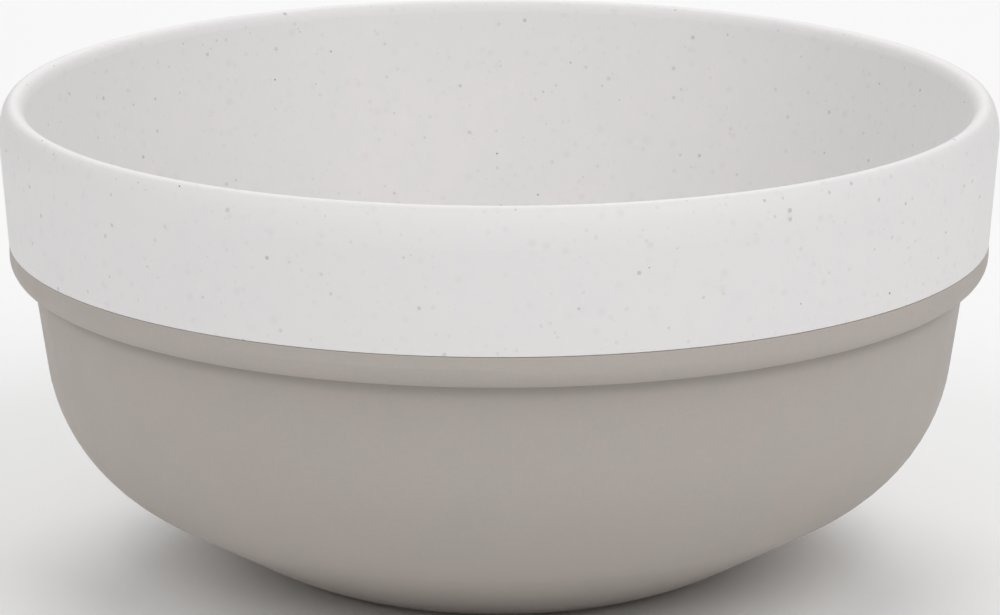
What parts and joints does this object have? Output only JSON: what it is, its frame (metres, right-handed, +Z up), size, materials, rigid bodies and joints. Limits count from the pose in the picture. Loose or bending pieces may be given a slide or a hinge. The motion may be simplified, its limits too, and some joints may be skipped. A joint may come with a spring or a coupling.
{
  "type": "chip and dip server",
  "caption": "Two-tone stoneware chip and dip server: a speckled white serving bowl lifts out of a taupe outer bowl, and a small dip cup lifts out of its middle.",
  "frame": {"origin": "centre of the foot ring's underside, on the surface that the server stands on", "axes": "+Z up along the axis of all the bowls; every piece is round, so +X and +Y are free"},
  "size_m": [0.25, 0.25, 0.12],
  "materials": {
    "taupe_stoneware": "matte glaze",
    "speckled_stoneware": "soft matte glaze with fine grey specks",
    "cup_stoneware": "soft matte glaze with fine grey specks",
    "seat_silicone": "matte",
    "foot_silicone": "matte"
  },
  "bodies": {
    "outer_bowl": {"outer_bowl": "taupe_stoneware", "seat_ring": "seat_silicone", "foot_ring": "foot_silicone"},
    "serving_bowl": {"serving_bowl": "speckled_stoneware"},
    "dip_cup": {"dip_cup": "cup_stoneware"}
  },
  "joints": [
    {"name": "serving_bowl_lift", "type": "slide", "parent": "outer_bowl", "child": "serving_bowl", "axis": [0, 0, 1], "range_m": [0, 0.12]},
    {"name": "dip_cup_lift", "type": "slide", "parent": "serving_bowl", "child": "dip_cup", "axis": [0, 0, 1], "range_m": [0, 0.13]}
  ]
}
